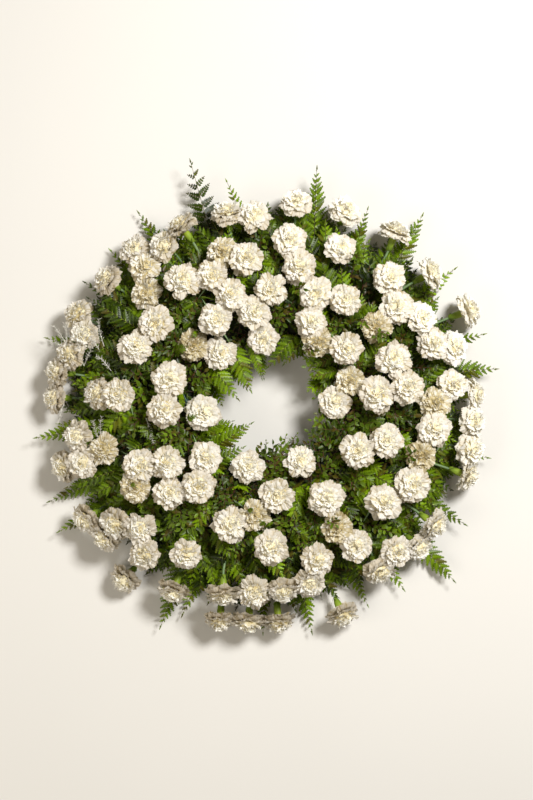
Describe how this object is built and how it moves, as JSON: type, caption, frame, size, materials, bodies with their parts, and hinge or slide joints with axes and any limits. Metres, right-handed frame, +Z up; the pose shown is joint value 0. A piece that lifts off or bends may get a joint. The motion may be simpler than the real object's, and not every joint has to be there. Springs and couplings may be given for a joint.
{
  "type": "funeral wreath",
  "caption": "Round wreath of white carnations with fern and small-leaved greens, set in a foam ring on a shallow tray, to lie flat or lean; open in the middle.",
  "frame": {"origin": "on the surface that the wreath lies on, under the middle of its box", "axes": "+Z up out of the wreath's face, +Y towards the wreath's top as the picture shows it, +X to the picture's right"},
  "size_m": [0.855, 0.8779, 0.1517],
  "materials": {
    "petals": "soft matte petals, cream white with pale yellow hearts",
    "greens": "half glossy leaves and stems",
    "foam": "wet, dull, fine-pored foam",
    "tray": "satin moulded plastic"
  },
  "bodies": {
    "root": {"base_tray": "tray", "foam_ring": "foam", "greens_01": "greens", "greens_02": "greens", "greens_03": "greens", "greens_04": "greens", "greens_05": "greens", "greens_06": "greens", "greens_07": "greens", "greens_08": "greens", "greens_09": "greens", "greens_10": "greens", "greens_11": "greens", "greens_12": "greens", "greens_13": "greens", "greens_14": "greens", "greens_15": "greens", "greens_16": "greens", "carnations_01": "petals", "carnations_02": "petals", "carnations_03": "petals", "carnations_04": "petals", "carnations_05": "petals", "carnations_06": "petals", "carnations_07": "petals", "carnations_08": "petals", "carnations_09": "petals", "carnations_10": "petals", "carnations_11": "petals", "carnations_12": "petals", "carnations_13": "petals", "carnations_14": "petals", "carnations_15": "petals", "carnations_16": "petals", "carnations_17": "petals", "carnations_18": "petals", "carnations_19": "petals", "carnations_20": "petals", "carnations_21": "petals", "carnations_22": "petals", "carnations_23": "petals", "carnations_24": "petals", "carnations_25": "petals", "carnations_26": "petals", "carnations_27": "petals", "carnations_28": "petals", "carnations_29": "petals", "carnations_30": "petals", "carnations_31": "petals", "carnations_32": "petals", "carnations_33": "petals", "carnations_34": "petals", "carnations_35": "petals", "carnations_36": "petals", "carnations_37": "petals", "carnations_38": "petals", "carnations_39": "petals", "carnations_40": "petals", "carnations_41": "petals", "carnations_42": "petals"}
  },
  "joints": []
}
